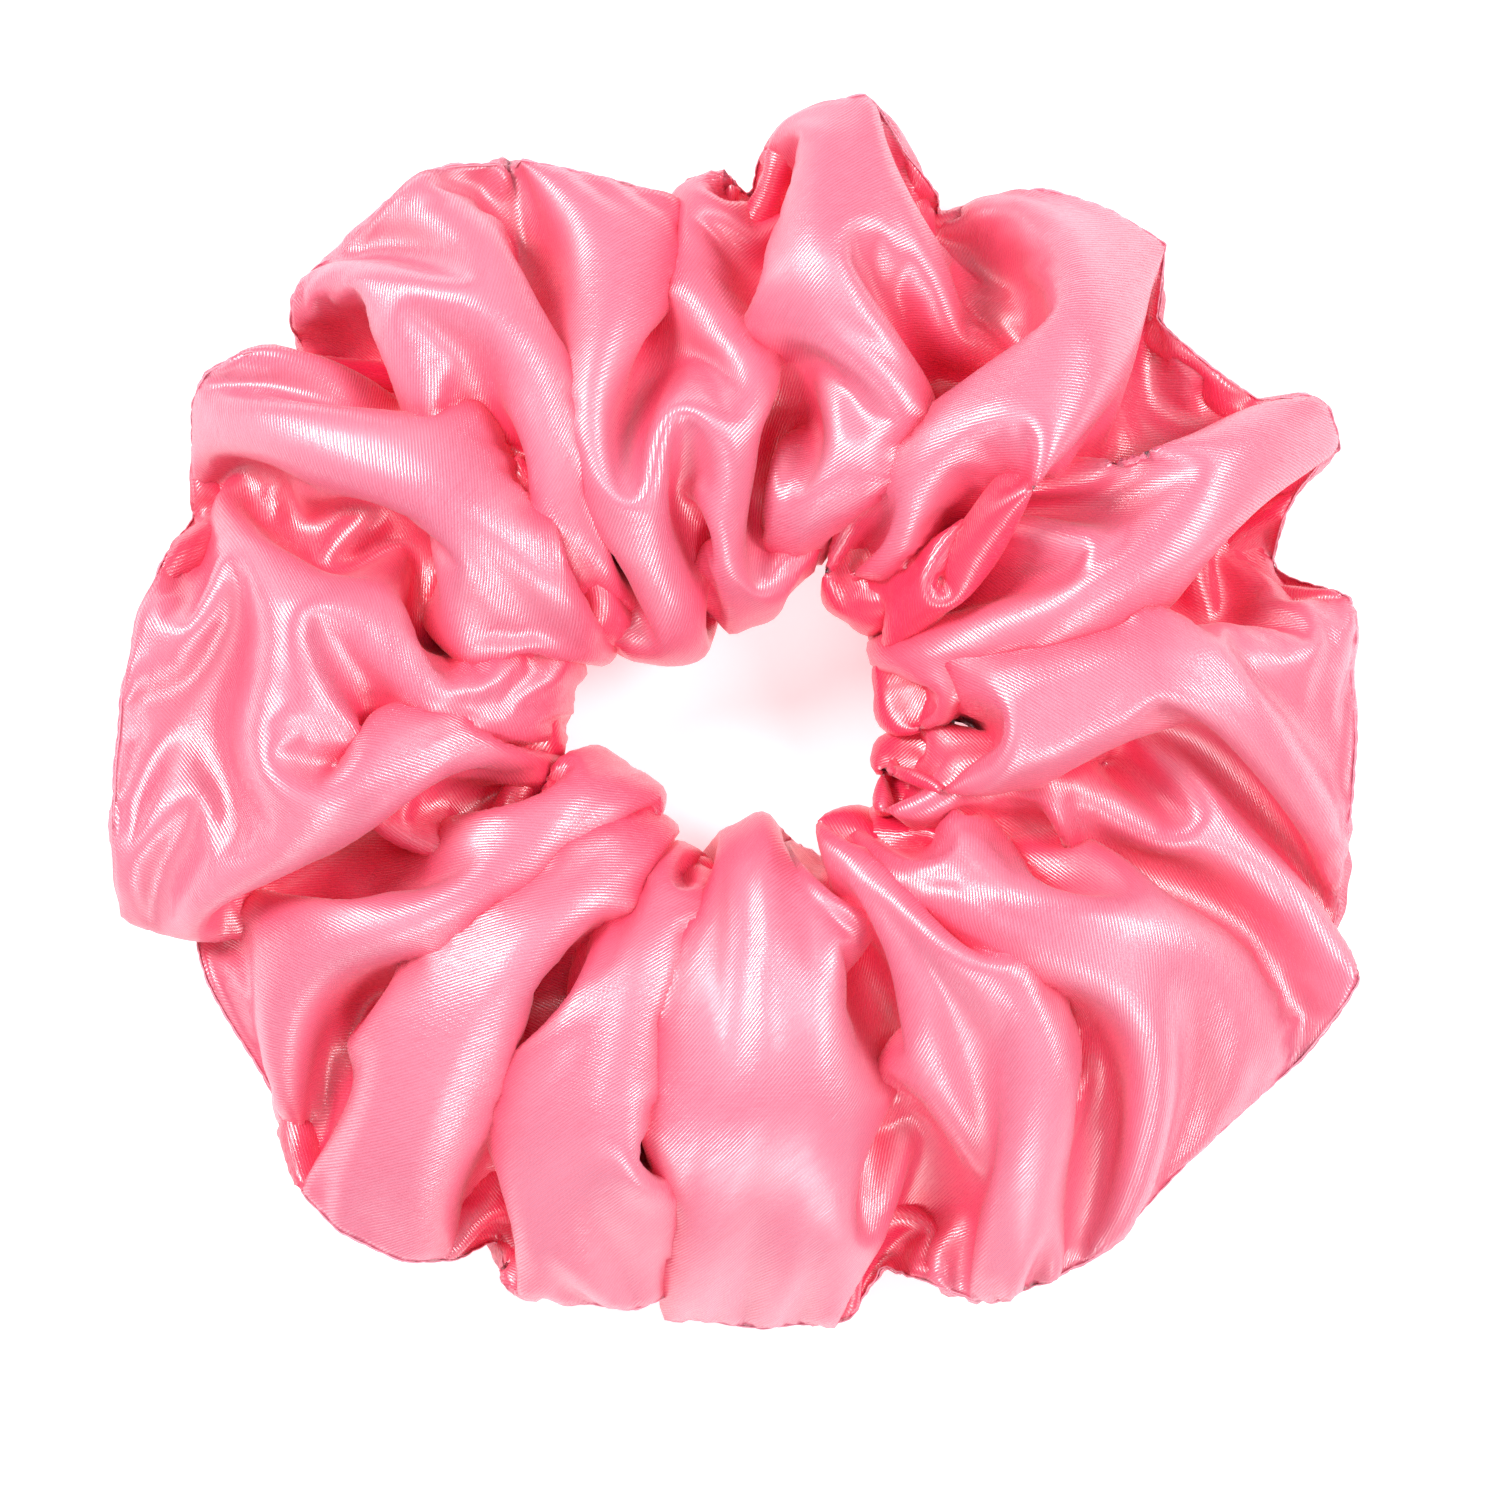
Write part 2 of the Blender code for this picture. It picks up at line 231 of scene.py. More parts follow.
def first_shape(rows, columns):
    """The drawn sleeve: a grid of points, along the tube and round it, and the length of the satin."""
    _, _, starts, satin = seam_edge()
    place = np.arange(rows) * satin / rows
    rim = smoothed(drawn_rim(rows))
    lobe = np.searchsorted(starts, place, side="right") - 1
    lobe_satin = FULLNESS * np.array([entry.satin for entry in LOBES])
    share = (place - starts[lobe]) / lobe_satin[lobe]

    rim_angle = np.degrees(np.arctan2(rim[:, 1], rim[:, 0]))
    rim_radius = np.hypot(rim[:, 0], rim[:, 1])

    first_edge = [math.degrees(math.atan2(entry.edge[0][1], entry.edge[0][0])) for entry in LOBES]
    valley = np.array([[entry.pinch, entry.halfway, angle] for entry, angle in zip(LOBES, first_edge)])
    valley[:, 2] += 360.0 * np.round((valley[:, 1] - valley[:, 2]) / 360.0)
    following = np.vstack([valley[1:], valley[:1] + 360.0])
    depth = np.array([entry.depth for entry in LOBES])
    lift = np.array([entry.lift for entry in LOBES])
    lean = np.array([entry.lean for entry in LOBES])

    out = np.linspace(0.0, 1.0, 240) ** 1.5
    blends = np.stack([(1 - out) * (1 - 2 * out), 4 * out * (1 - out), out * (2 * out - 1)])
    before = valley[lobe] @ blends
    after = following[lobe] @ blends
    across = share - SWELL / (2 * math.pi) * np.sin(2 * math.pi * share)
    angle = before + (after - before) * across[:, None]
    slip = (rim_angle - angle[:, -1] + 180.0) % 360.0 - 180.0
    angle = angle + slip[:, None] * out ** 3

    shallow = (1.0 - depth)[lobe] * (1 - share) + (1.0 - np.roll(depth, -1))[lobe] * share
    rise = 0.6 * (0.5 - 0.5 * np.cos(2 * np.pi * share)) + 0.4 * (1 - np.abs(2 * share - 1))
    rise = shallow + (1.0 - shallow) * rise
    bend = np.sin(2 * math.pi * (WAVER_WAVES * out[None, :] + WAVER_SHIFT * lobe[:, None]))
    angle = angle + ((lean[lobe])[:, None] + WAVER * bend) * rise[:, None] * np.sin(math.pi * out)
    crest = (rise * lift[lobe])[:, None]
    rise = rise[:, None]
    hole = look_up_angle(HAIR_HOLE, angle[:, :1])
    hole = np.minimum(HOLE_MIDDLE + HOLE_STRETCH * (hole - HOLE_MIDDLE), PINCH_RADIUS)
    inner = (1 - rise) * np.maximum(hole, PINCH_RADIUS) + rise * np.minimum(hole, PINCH_RADIUS)
    radius = inner + (rim_radius[:, None] - inner) * out
    near_edge = np.clip((out - 0.7) / 0.3, 0, 1) ** 2
    top = (1 - crest) * look_up(VALLEY_TOP, out) + crest * look_up(CREST_TOP, out)
    dents = np.sin(2 * math.pi * (CRUMPLE_WAVES * out[None, :] + CRUMPLE_SHIFT * lobe[:, None]
                                  + CRUMPLE_SLANT * share[:, None]))
    top = top + CRUMPLE * dents * rise * np.sin(math.pi * out)
    under = (1 - crest) * look_up(VALLEY_UNDER, out) + crest * look_up(CREST_UNDER, out)
    top = top + near_edge * (rim[:, 2:] - top[:, -1:])
    under = under + near_edge * (rim[:, 2:] - under[:, -1:])

    turn = np.radians(angle)
    flat = np.stack([radius * np.cos(turn), radius * np.sin(turn)], axis=-1)
    half = columns // 2
    shape = np.zeros((rows, columns, 3))
    for row in range(rows):
        upper = np.concatenate([flat[row], top[row][:, None]], axis=1)
        lower = np.concatenate([flat[row], under[row][:, None]], axis=1)[::-1]
        shape[row, :half + 1] = even_steps(upper, half)
        shape[row, half:] = even_steps(lower, half)[:-1]
    return shape, satin


def even_steps(line, count):
    """The same line in a number of steps of equal length."""
    steps = np.linalg.norm(np.diff(line, axis=0), axis=1)
    along = np.concatenate([[0.0], np.cumsum(steps)])
    stops = np.linspace(0.0, along[-1], count + 1)
    return np.stack([np.interp(stops, along, line[:, axis]) for axis in range(3)], axis=1)


# ---------------------------------------------------------------- the cloth solver

class Cloth:
    """A closed tube of cloth as a grid of points, periodic both ways."""

    def __init__(self, shape, length, girth):
        self.at = shape.copy()
        self.speed = np.zeros_like(shape)
        self.along, self.round = shape.shape[:2]
        self.step_along = length / self.along
        self.step_round = girth / self.round

    def hold_apart(self, over_along, over_round, rest, stiffness):
        """Moves every two points so many rows apart towards their distance at rest."""
        at = self.at
        rows = np.arange(self.along if over_along else self.round)
        hop = over_along or over_round
        for colour in range(2):
            chosen = rows[(rows // hop) % 2 == colour]
            if over_along:
                other = (chosen + over_along) % self.along
                apart = np.roll(at[other], -over_round, axis=1) - at[chosen]
            else:
                other = (chosen + over_round) % self.round
                apart = at[:, other] - at[:, chosen]
            distance = np.sqrt((apart * apart).sum(-1)) + 1e-9
            move = (0.5 * stiffness * (distance - rest) / distance)[..., None] * apart
            if over_round > 1:
                half = self.round // 2
                move[:, (chosen < half) & (chosen + over_round > half)] = 0.0
            if over_along:
                at[chosen] += move
                at[other] -= np.roll(move, over_round, axis=1)
            else:
                at[:, chosen] += move
                at[:, other] -= move

    def near_pairs(self, reach):
        """Every two points within reach that aren't close neighbours in the cloth."""
        spots = self.at.reshape(-1, 3)
        cell = np.floor(spots / reach).astype(np.int64)
        cell -= cell.min(axis=0) - 1
        size = cell.max(axis=0) + 2
        key = (cell[:, 0] * size[1] + cell[:, 1]) * size[2] + cell[:, 2]
        order = np.argsort(key, kind="stable")
        ordered = key[order]
        index = np.arange(len(spots))
        found = []
        for shift in np.ndindex(3, 3, 3):
            shift = tuple(part - 1 for part in shift)
            if shift < (0, 0, 0):
                continue
            wanted = key + (shift[0] * size[1] + shift[1]) * size[2] + shift[2]
            low = np.searchsorted(ordered, wanted, "left")
            count = np.searchsorted(ordered, wanted, "right") - low
            first = np.repeat(index, count)
            within = np.arange(count.sum()) - np.repeat(np.cumsum(count) - count, count)
            second = order[np.repeat(low, count) + within]
            if shift == (0, 0, 0):
                once = first < second
                first, second = first[once], second[once]
            gap = spots[first] - spots[second]
            close = (gap * gap).sum(axis=1) < reach * reach
            found.append(np.stack([first[close], second[close]]))
        pairs = np.concatenate(found, axis=1)
        rows = np.abs(pairs[0] // self.round - pairs[1] // self.round)
        columns = np.abs(pairs[0] % self.round - pairs[1] % self.round)
        rows = np.minimum(rows, self.along - rows)
        columns = np.minimum(columns, self.round - columns)
        return pairs[:, (rows > 2) | (columns > 2)]

    def push_apart(self, pairs, thickness, stiffness):
        spots = self.at.reshape(-1, 3)
        gap = spots[pairs[0]] - spots[pairs[1]]
        distance = np.sqrt((gap * gap).sum(axis=1)) + 1e-9
        close = distance < thickness
        first, second = pairs[0][close], pairs[1][close]
        gap, distance = gap[close], distance[close]
        move = (0.5 * stiffness * (thickness - distance) / distance)[:, None] * gap
        for axis in range(3):
            spots[:, axis] += np.bincount(first, move[:, axis], len(spots))
            spots[:, axis] -= np.bincount(second, move[:, axis], len(spots))

    def keep_outside_ring(self):
        """Keeps the cloth off the space of the elastic, which is taller than it is thick."""
        x, y, up = (self.at[..., axis] - RING_CENTRE[axis] for axis in range(3))
        reach = np.hypot(x, y) + 1e-9
        out = reach - RING_RADIUS
        away = np.sqrt(out * out + (0.8 * up) ** 2) + 1e-9
        grow = np.where(away < RING_CLEARANCE, RING_CLEARANCE / away - 1.0, 0.0)
        self.at[..., 0] += x * out * grow / reach
        self.at[..., 1] += y * out * grow / reach
        self.at[..., 2] += up * grow

    def outward(self):
        along = np.roll(self.at, -1, 0) - np.roll(self.at, 1, 0)
        across = np.roll(self.at, -1, 1) - np.roll(self.at, 1, 1)
        facing = np.cross(across, along)
        return facing / (np.linalg.norm(facing, axis=2, keepdims=True) + 1e-9)


def settle(shape, drawn, satin, steps):
    """Relaxes the sleeve into cloth: it keeps its lengths, bends softly, and lies on the table."""
    cloth = Cloth(shape, satin, GIRTH)
    along, across = cloth.step_along, cloth.step_round
    thickness = THICKNESS * min(along, across)
    columns = shape.shape[1]
    half = columns // 2
    from_pinch = np.minimum(np.arange(columns), columns - np.arange(columns)) / half
    grip = HOLD + PINCH_HOLD * np.clip(1.0 - from_pinch / PINCH_SHARE, 0.0, 1.0)
    grip[half] = RIM_HOLD
    grip = grip[None, :, None]
    top_speed = TOP_SPEED * along / TICK
    for step in range(steps):
        before = cloth.at.copy()
        cloth.speed[..., 2] -= GRAVITY * TICK
        cloth.speed += cloth.outward() * PRESSURE * TICK
        cloth.speed *= SPEED_KEPT
        pace = np.sqrt((cloth.speed ** 2).sum(-1, keepdims=True))
        cloth.speed *= np.minimum(1.0, top_speed / (pace + 1e-9))
        cloth.at += cloth.speed * TICK
        for _ in range(STIFFNESS_ROUNDS):
            for over_along, over_round, stiffness in STIFFNESS:
                rest = math.hypot(over_along * along, over_round * across)
                cloth.hold_apart(over_along, over_round, rest, stiffness)
        if step % STEPS_PER_SEARCH == 0:
            pairs = cloth.near_pairs(1.8 * thickness)
        cloth.push_apart(pairs, thickness, PUSH)
        cloth.at += grip * (drawn - cloth.at)
        cloth.keep_outside_ring()
        low = cloth.at[..., 2] < TABLE_GAP
        cloth.at[..., 2][low] = TABLE_GAP
        moved = cloth.at - before
        moved[..., :2][low] *= TABLE_SLIDE
        cloth.at = before + moved
        cloth.speed = moved / TICK
    return cloth.at


def finer(shape):
    """Twice as many points each way, on a smooth surface through the old ones."""
    for axis in (0, 1):
        before, after = np.roll(shape, 1, axis), np.roll(shape, -1, axis)
        beyond = np.roll(shape, -2, axis)
        middle = (9.0 * (shape + after) - before - beyond) / 16.0
        size = list(shape.shape)
        size[axis] *= 2
        shape = np.stack([shape, middle], axis=axis + 1).reshape(size)
    return shape


def creased(shape, satin):
    """The sleeve with fine creases, which fan out from the elastic and fade towards the seam edge."""
    rows, columns = shape.shape[:2]
    place = (np.arange(rows) * 2 * math.pi / rows)[:, None]
    column = np.arange(columns)
    out = (np.minimum(column, columns - column) * GIRTH / columns)[None, :]
    height = 0.0
    for number, pitch in enumerate(CREASE_PITCHES):
        waves = round(satin / pitch)
        sway = CREASE_SWAY * out * np.sin((7 + 4 * number) * place + 2.0 * number)
        ridge = 1.0 - 2.0 * np.abs(np.sin(0.5 * waves * place + sway + number)) ** 0.8
        patch = 0.5 + 0.5 * np.sin((11 + 6 * number) * place + 0.06 * out + 1.3 * number)
        height = height + ridge * patch * pitch / CREASE_PITCHES[-1]
    fade = CREASE_HEIGHT * np.exp(-(out / CREASE_REACH) ** 2) + CREASE_FAR_HEIGHT
    return shape + Cloth(shape, 1.0, 1.0).outward() * (fade * height)[..., None]


def sleeve_shape():
    """The settled sleeve: first on a coarse grid, which makes broad folds, then on a finer one."""
    drawn, satin = first_shape(ALONG, AROUND)
    settled = settle(drawn, drawn, satin, COARSE_STEPS)
    for steps in FINER_STEPS:
        settled = finer(settled)
        if steps == FINER_STEPS[-1]:
            settled = creased(settled, satin)
        aim = settled.copy()
        aim[:, settled.shape[1] // 2] = drawn_rim(settled.shape[0])
        settled = settle(settled, aim, satin, steps)
    return settled, satin


def grid_corners(rows, columns):
    """The (row, column) of the four corners of each face, not yet wrapped round."""
    i, j = np.meshgrid(np.arange(rows), np.arange(columns), indexing="ij")
    i, j = i.ravel(), j.ravel()
    return [(i, j), (i, j + 1), (i + 1, j + 1), (i + 1, j)]


def grid_faces(rows, columns):
    return np.stack([(a % rows) * columns + b % columns for a, b in grid_corners(rows, columns)], axis=1)


def grid_mesh(name, shape, uv_size):
    """A mesh over a grid that is periodic both ways, with the cloth's own coordinates in metres as UV."""
    rows, columns = shape.shape[:2]
    corners = grid_corners(rows, columns)
    mesh = bpy.data.meshes.new(name)
    faces = grid_faces(rows, columns)
    mesh.from_pydata((shape.reshape(-1, 3) * MM).tolist(), [], faces.tolist())
    uv = np.stack([np.stack([a * uv_size[0] / rows, b * uv_size[1] / columns], axis=1)
                   for a, b in corners], axis=1)
    layer = mesh.uv_layers.new(name="cloth")
    layer.data.foreach_set("uv", (uv * MM).ravel())
    mesh.polygons.foreach_set("use_smooth", [True] * len(faces))
    piece = bpy.data.objects.new(name, mesh)
    bpy.context.scene.collection.objects.link(piece)
    return piece


# ---------------------------------------------------------------- materials

# Painted shade: rays from each point of the satin set how dark its colour is painted in the folds.
# Directions of the sky, as (tilt from straight up, turn about it), in radians.
SKY_RAYS = [(0.15, 0.5), (0.5, 0.0), (0.5, 2.1), (0.5, 4.2), (0.85, 1.0), (0.85, 3.1), (0.85, 5.2),
            (1.1, 0.0), (1.1, 1.6), (1.1, 3.2), (1.1, 4.7)]
# Where the rays start, in millimetres off the cloth, and how far down a point faces, as the z of its
# normal, before its rays go down.
SKY_START = 0.6
UNDERSIDE = -0.35
# How steeply the painted shade deepens towards the bottom of a fold.
PAINTED_SHADE_CONTRAST = 1.4

# The satin's colours: a painted shade deep in a fold, its unshaded colour in the open, and, as a tint,
# between its yarns.
SATIN_PAINTED_SHADE = (0.95, 0.03, 0.12)
SATIN_UNSHADED = (0.77, 0.228, 0.34)
SATIN_BETWEEN_YARNS = (0.90, 0.42, 0.55)
SATIN_ROUGHNESS = 0.36
SATIN_ANISOTROPY = 0.8
SATIN_IOR = 2.3
SATIN_SHEEN = 0.15
SATIN_SHEEN_ROUGHNESS = 0.4
# Its dye is a little patchy.
PATCHES = 45
PATCHINESS = 0.3

# The weave: metres from one twill line to the next, how much the yarns bend the lines, how strongly the
# lines and the uneven yarns tint it, how much rougher it is between yarns, and its relief in metres.
TWILL_PITCH = 0.00035
TWILL_WOBBLE = 2.0
WEAVE_LINES = 0.40
WEAVE_GRAIN = 1.6
WEAVE_ROUGHNESS = 0.30
WEAVE_RELIEF = 0.00005
WEAVE_STRENGTH = 0.6
TWILL_IN_RELIEF = 0.35
# Waves of noise a metre: along and across the twill lines' floats, and along and across the yarns.
FLOATS = (2600, 260, 1)
YARNS = (350, 4500, 1)

# Thread: waves of its fibres a metre, their relief in metres, the shades they lie between, how much
# rougher they make it, and its shine.
FIBRES = 14000.0
FIBRE_RELIEF = 0.00003
FIBRE_STRENGTH = 0.5
FIBRE_SHADES = (0.72, 1.18)
FIBRE_ROUGHNESS = 0.3
THREAD_ROUGHNESS = 0.45
THREAD_SPECULAR = 0.4
THREAD_SHEEN = 0.4
THREAD_SHEEN_ROUGHNESS = 0.5


def new_material(name):
    material = bpy.data.materials.new(name)
    material.use_nodes = True
    return material, material.node_tree.nodes, material.node_tree.links


def math_node(nodes, links, operation, first, second):
    """A Math node over two inputs, each a socket or a number."""
    node = nodes.new("ShaderNodeMath")
    node.operation = operation
    for socket, value in zip(node.inputs, (first, second)):
        if isinstance(value, (int, float)):
            socket.default_value = value
        else:
            links.new(value, socket)
    return node.outputs[0]


def colour_mix(nodes, blend, first, second):
    """A colour mix of two colours, whose factor and first colour can be linked afterwards."""
    mix = nodes.new("ShaderNodeMix")
    mix.data_type = "RGBA"
    mix.blend_type = blend
    mix.inputs[6].default_value = (*first, 1.0)
    mix.inputs[7].default_value = (*second, 1.0)
    return mix


def noise_node(nodes, links, place, stretch, scale, detail):
    """Noise over a place, stretched along its axes."""
    mapping = nodes.new("ShaderNodeMapping")
    mapping.inputs["Scale"].default_value = stretch
    links.new(place, mapping.inputs["Vector"])
    noise = nodes.new("ShaderNodeTexNoise")
    noise.inputs["Scale"].default_value = scale
    noise.inputs["Detail"].default_value = detail
    links.new(mapping.outputs[0], noise.inputs["Vector"])
    return noise.outputs["Fac"]


def openness_for_painted_shade(shape):
    """How open each point of the settled sleeve lies, from 0, deep in a fold, to 1.

    Rays go to the sides, and up, or down to the table from the underside, from each point of a coarser
    copy. The share that gets away counts, and sets how much painted shade the satin's colour gets there.
    """
    skip = max(1, len(shape) // (2 * ALONG))
    coarse = shape[::skip, ::skip]
    tree = BVHTree.FromPolygons(coarse.reshape(-1, 3).tolist(), grid_faces(*coarse.shape[:2]).tolist())
    facing = Cloth(coarse, 1.0, 1.0).outward()
    starts = coarse + SKY_START * facing
    upward = np.where(facing[..., 2] > UNDERSIDE, 1.0, -1.0)
    share = np.zeros(coarse.shape[:2])
    for tilt, turn in SKY_RAYS:
        level_x, level_y = math.sin(tilt) * math.cos(turn), math.sin(tilt) * math.sin(turn)
        for row in range(share.shape[0]):
            for column in range(share.shape[1]):
                ray = Vector((level_x, level_y, upward[row, column] * math.cos(tilt)))
                if tree.ray_cast(starts[row, column], ray)[0] is None:
                    share[row, column] += 1.0 / len(SKY_RAYS)
    for _ in range(2):
        for axis in (0, 1):
            share = smoothed(share, axis)
    fine = np.kron(share, np.ones((skip, skip)))
    for _ in range(skip):
        for axis in (0, 1):
            fine = smoothed(fine, axis)
    return fine ** PAINTED_SHADE_CONTRAST


def satin_material():
    """Polyester satin: long floats that shine, fine diagonal twill lines, slightly uneven yarns, and
    painted shade deep in its folds.
    """
    material, nodes, links = new_material("satin")
    shader = nodes["Principled BSDF"]
    shader.inputs["IOR"].default_value = SATIN_IOR
    shader.inputs["Anisotropic"].default_value = SATIN_ANISOTROPY
    shader.inputs["Sheen Weight"].default_value = SATIN_SHEEN
    shader.inputs["Sheen Roughness"].default_value = SATIN_SHEEN_ROUGHNESS

    cloth = nodes.new("ShaderNodeUVMap")
    cloth.uv_map = "cloth"
    tangent = nodes.new("ShaderNodeTangent")
    tangent.direction_type = "UV_MAP"
    tangent.uv_map = "cloth"
    links.new(tangent.outputs[0], shader.inputs["Tangent"])

    place = cloth.outputs[0]
    parts = nodes.new("ShaderNodeSeparateXYZ")
    links.new(place, parts.inputs[0])
    diagonal = math_node(nodes, links, "ADD", parts.outputs[0], parts.outputs[1])
    across = math_node(nodes, links, "SUBTRACT", parts.outputs[0], parts.outputs[1])
    turned = nodes.new("ShaderNodeCombineXYZ")
    links.new(diagonal, turned.inputs[0])
    links.new(across, turned.inputs[1])
    floats = noise_node(nodes, links, turned.outputs[0], FLOATS, 1.0, 2.0)
    yarns = noise_node(nodes, links, place, YARNS, 1.0, 2.0)
    slow = noise_node(nodes, links, place, (PATCHES, PATCHES, 1), 1.0, 3.0)
    turns = math_node(nodes, links, "MULTIPLY", diagonal, 2.0 * math.pi / (math.sqrt(2.0) * TWILL_PITCH))
    wobble = math_node(nodes, links, "MULTIPLY", yarns, TWILL_WOBBLE)
    twill = math_node(nodes, links, "SINE", math_node(nodes, links, "ADD", turns, wobble), 0.0)
    grain = math_node(nodes, links, "MULTIPLY", math_node(nodes, links, "ADD", floats, yarns), 0.5)

    # Painted shade: the colour goes from unshaded satin to a deep painted shade as a point lies deeper in a
    # fold, with the patchy dye added.
    fold = nodes.new("ShaderNodeAttribute")
    fold.attribute_name = "painted_shade_openness"
    patchy = math_node(nodes, links, "SUBTRACT", slow, 0.5)
    patchy = math_node(nodes, links, "MULTIPLY", patchy, PATCHINESS)
    dye_and_painted_shade = colour_mix(nodes, "MIX", SATIN_PAINTED_SHADE, SATIN_UNSHADED)
    links.new(math_node(nodes, links, "ADD", patchy, fold.outputs["Fac"]), dye_and_painted_shade.inputs[0])
    lines = math_node(nodes, links, "MULTIPLY", twill, WEAVE_LINES)
    uneven = math_node(nodes, links, "SUBTRACT", grain, 0.5)
    uneven = math_node(nodes, links, "MULTIPLY", uneven, WEAVE_GRAIN)
    weave = math_node(nodes, links, "ADD", math_node(nodes, links, "ADD", lines, uneven), 0.5)
    woven = colour_mix(nodes, "MULTIPLY", SATIN_PAINTED_SHADE, SATIN_BETWEEN_YARNS)
    links.new(dye_and_painted_shade.outputs[2], woven.inputs[6])
    links.new(weave, woven.inputs[0])
    links.new(woven.outputs[2], shader.inputs["Base Color"])

    rough = math_node(nodes, links, "SUBTRACT", weave, 0.5)
    rough = math_node(nodes, links, "MULTIPLY", rough, WEAVE_ROUGHNESS)
    links.new(math_node(nodes, links, "ADD", rough, SATIN_ROUGHNESS), shader.inputs["Roughness"])

    relief = math_node(nodes, links, "MULTIPLY", twill, TWILL_IN_RELIEF)
    height = math_node(nodes, links, "ADD", relief, grain)
    bump = nodes.new("ShaderNodeBump")
    bump.inputs["Strength"].default_value = WEAVE_STRENGTH
    bump.inputs["Distance"].default_value = WEAVE_RELIEF
    links.new(height, bump.inputs["Height"])
    links.new(bump.outputs[0], shader.inputs["Normal"])
    return material


# ---------------------------------------------------------------- camera, light and floor

# Round lamps, in metres and watts: name, place, width, power. They all face the middle of the table.
LAMPS = [
    ("key", (-0.75, 0.5, 0.85), 0.5, 12.0),
    ("fill", (0.85, 0.2, 0.85), 0.5, 8.4),
    ("front", (0.15, -0.95, 0.85), 0.5, 6.6),
    ("top", (0.0, 0.0, 1.6), 0.6, 1.0),
]
AMBIENT = 0.38
PAPER = (0.93, 0.93, 0.93, 1.0)
PAPER_ROUGHNESS = 0.9
PAPER_GLOW = 0.45
PAPER_SIZE = 6.0
WHITE = (1.0, 1.0, 1.0, 1.0)

# The camera looks straight down, with a frame so wide, in metres, at the middle of the lobes' height.
FRAME_WIDTH = 0.177
FRAME_LEVEL = 0.013
CAMERA_PLACE = (0.0028, -0.0047, 1.2)
SENSOR_WIDTH = 36.0


def area_light(name, place, size, power):
    light = bpy.data.lights.new(name, "AREA")
    light.energy = power
    light.shape = "DISK"
    light.size = size
    lamp = bpy.data.objects.new(name, light)
    lamp.location = place
    inward = Vector((0.0, 0.0, 0.0)) - Vector(place)
    lamp.rotation_euler = inward.to_track_quat("-Z", "Y").to_euler()
    bpy.context.scene.collection.objects.link(lamp)


def studio():
    """White paper under the object, lit from all sides."""
    bpy.ops.mesh.primitive_plane_add(size=PAPER_SIZE)
    floor = bpy.context.active_object
    floor.name = "floor"
    material, nodes, _ = new_material("white paper")
    paper = nodes["Principled BSDF"]
    paper.inputs["Base Color"].default_value = PAPER
    paper.inputs["Roughness"].default_value = PAPER_ROUGHNESS
    paper.inputs["Emission Color"].default_value = WHITE
    paper.inputs["Emission Strength"].default_value = PAPER_GLOW
    floor.data.materials.append(material)

    for name, place, size, power in LAMPS:
        area_light(name, place, size, power)
    world = bpy.data.worlds.new("studio")
    world.use_nodes = True
    background = world.node_tree.nodes["Background"]
    background.inputs["Color"].default_value = WHITE
    background.inputs["Strength"].default_value = AMBIENT
    bpy.context.scene.world = world
    bpy.context.scene.view_settings.view_transform = "Standard"


def camera():
    data = bpy.data.cameras.new("camera")
    data.lens = SENSOR_WIDTH * (CAMERA_PLACE[2] - FRAME_LEVEL) / FRAME_WIDTH
    data.sensor_width = SENSOR_WIDTH
    data.clip_end = 20.0
    view = bpy.data.objects.new("camera", data)
    view.location = CAMERA_PLACE
    bpy.context.scene.collection.objects.link(view)
    bpy.context.scene.camera = view


# ---------------------------------------------------------------- sewing

# The stitches' length, and the thread: its radius, the sides and steps of its tube, and its twist.
STITCH = 2.4
THREAD_RADIUS = 0.09
THREAD_SIDES = 8
THREAD_STEP = 0.22
PLIES = 3
PLY_RELIEF = 0.16
PLY_PITCH = 1.1
# How far a stitch stands off the cloth between its ends and sinks at them, and how far to the side it
# lies on the long seam and on the closing seam.
STITCH_RISE = 0.12
STITCH_SINK = 0.02
LONG_SEAM_SIDE = 0.16
CLOSING_SEAM_SIDE = 0.05
NEEDLE_PINK = (0.90, 0.34, 0.44)
BOBBIN_PINK = (0.86, 0.31, 0.41)
# The closing seam's cut thread end, as (x, y, z) from the last stitch.
THREAD_END = [(0.0, 0.0, 0.0), (-0.5, 1.2, 0.3), (-1.4, 2.2, 0.5), (-2.6, 2.9, 0.2)]

# How deep both seams lie, and the height and spacing of the puckers along the long seam, which reach so
# many columns of the grid to each side of it. Their spacing drifts and their height swells over longer
# distances.
SEAM_GROOVE = 0.45
PUCKER = 0.25
PUCKER_PITCH = 6.4
PUCKER_COLUMNS = 7
PUCKER_DRIFT = 31.0
PUCKER_SWELL = 47.0


def unit(vectors):
    return vectors / (np.linalg.norm(vectors, axis=-1, keepdims=True) + 1e-9)


def seam_frame(shape):
    """Where the long seam runs on the settled sleeve, which way is out, and which way is its upper side."""
    half = shape.shape[1] // 2
    rim = shape[:, half]
    along = unit(np.roll(rim, -1, 0) - np.roll(rim, 1, 0))
    out = rim - 0.5 * (shape[:, half - 2] + shape[:, half + 2])
    out = unit(out - along * (out * along).sum(1, keepdims=True))
    upper = unit(np.cross(out, along))
    return rim, out, upper


